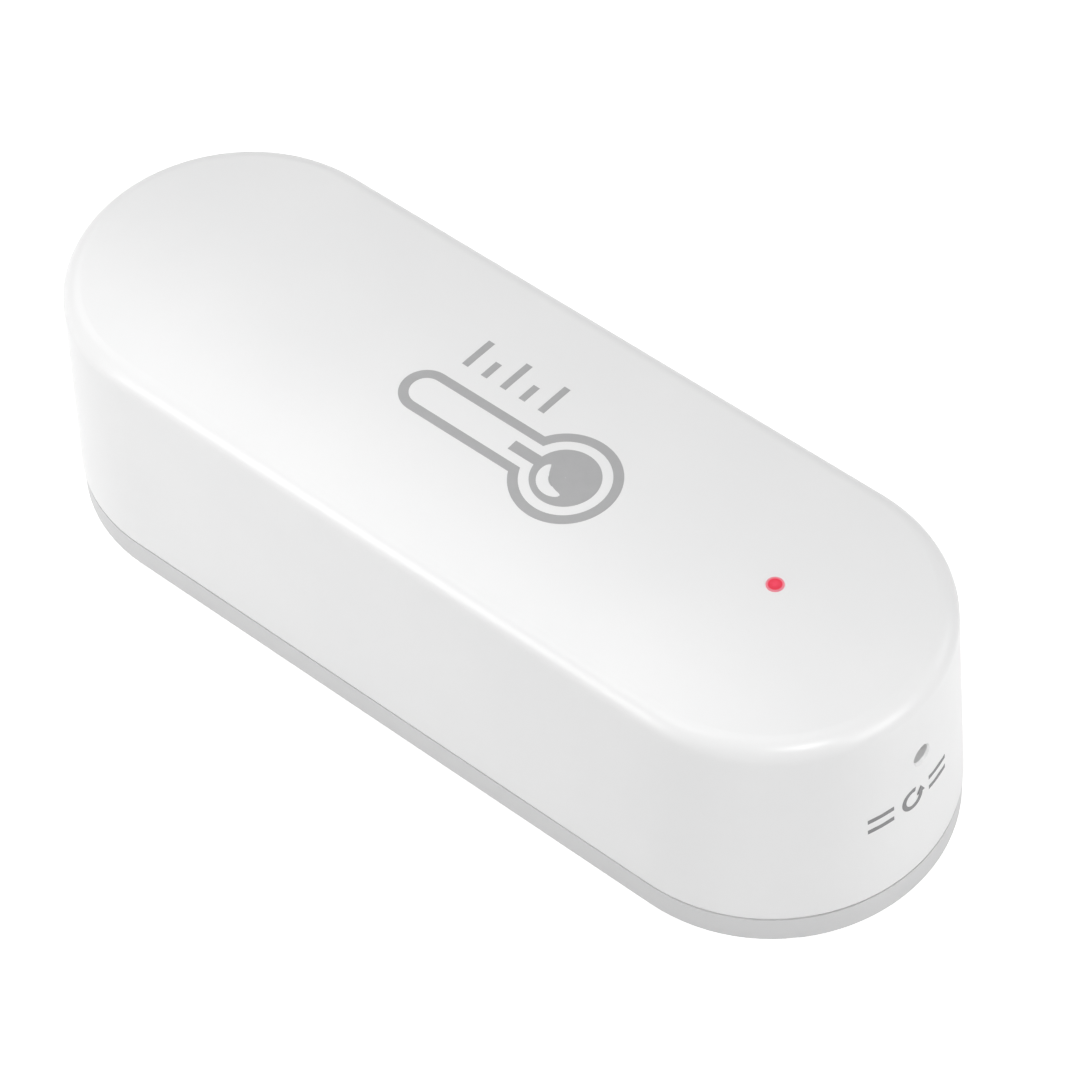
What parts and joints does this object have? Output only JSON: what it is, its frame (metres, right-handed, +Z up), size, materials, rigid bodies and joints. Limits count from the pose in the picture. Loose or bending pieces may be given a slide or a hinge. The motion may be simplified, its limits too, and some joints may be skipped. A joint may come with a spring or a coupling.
{
  "type": "temperature humidity sensor",
  "caption": "Pill-shaped battery temperature and humidity sensor with a pull-off base, a lamp, end vents and a pin-hole reset switch.",
  "frame": {"origin": "on the ground under the middle of the case", "axes": "+X along the case towards its reset end, +Z up through the top with the lamp"},
  "size_m": [0.0718, 0.0254, 0.0204],
  "materials": {
    "shell_white": "satin",
    "base_white": "satin",
    "pipe_clear": "clear, lit red",
    "tray_plastic": "fine spark texture",
    "screw_steel": "zinc plated",
    "board_laminate": "solder mask",
    "contact_nickel": "nickel plated",
    "spring_wire": "nickel plated wire",
    "chip_black": "moulded",
    "solder_tin": "tinned",
    "coil_ferrite": "matt",
    "capacitor_yellow": "moulded",
    "capacitor_tan": "fired ceramic",
    "resistor_black": "glazed",
    "switch_plastic": "moulded",
    "plunger_plastic": "moulded",
    "lamp_white": "moulded",
    "lamp_lens": "clear",
    "module_laminate": "solder mask",
    "shield_tin": "tin plated",
    "aerial_copper": "gold flashed",
    "cell_sleeve": "shrunk film",
    "cell_steel": "nickel plated",
    "cell_seal": "nylon",
    "cell_filling": "pressed powder"
  },
  "bodies": {
    "housing": {"battery_tray": "tray_plastic", "bridge_contact": "contact_nickel", "bridge_spring": "spring_wire", "capacitor_bodies": "capacitor_tan", "chip_end_caps": "solder_tin", "circuit_board": "board_laminate", "housing": "shell_white", "lamp_base": "lamp_white", "lamp_lens": "lamp_lens", "light_pipe": "pipe_clear", "negative_contact": "contact_nickel", "negative_spring": "spring_wire", "positive_contact": "contact_nickel", "power_coil": "coil_ferrite", "radio_aerial": "aerial_copper", "radio_board": "module_laminate", "radio_shield": "shield_tin", "regulator_body": "chip_black", "regulator_legs": "solder_tin", "reset_switch_body": "switch_plastic", "reset_switch_skin": "shield_tin", "resistor_bodies": "resistor_black", "sensor_chip": "chip_black", "storage_capacitor": "capacitor_yellow", "tray_screws": "screw_steel"},
    "base_cover": {"base_cover": "base_white"},
    "reset_plunger": {"reset_plunger": "plunger_plastic"},
    "cell_a": {"cell_a_can": "cell_steel", "cell_a_end_plate": "cell_steel", "cell_a_filling": "cell_filling", "cell_a_seal": "cell_seal", "cell_a_sleeve": "cell_sleeve"},
    "cell_b": {"cell_b_can": "cell_steel", "cell_b_end_plate": "cell_steel", "cell_b_filling": "cell_filling", "cell_b_seal": "cell_seal", "cell_b_sleeve": "cell_sleeve"}
  },
  "joints": [
    {"name": "housing_lift", "type": "slide", "parent": "base_cover", "child": "housing", "axis": [0, 0, 1], "range_m": [0, 0.03]},
    {"name": "cell_a_drop", "type": "slide", "parent": "housing", "child": "cell_a", "axis": [0, 0, -1], "range_m": [0, 0.015]},
    {"name": "cell_b_drop", "type": "slide", "parent": "housing", "child": "cell_b", "axis": [0, 0, -1], "range_m": [0, 0.015]},
    {"name": "reset_press", "type": "slide", "parent": "housing", "child": "reset_plunger", "axis": [-1, 0, 0], "range_m": [0, 0.00025], "stiffness_N_per_m": 1000, "springref_m": -0.0005}
  ],
  "couplings": [
    {"joint": "cell_a_drop", "follows": "housing_lift", "ratio": 0.5},
    {"joint": "cell_b_drop", "follows": "housing_lift", "ratio": 0.5}
  ]
}
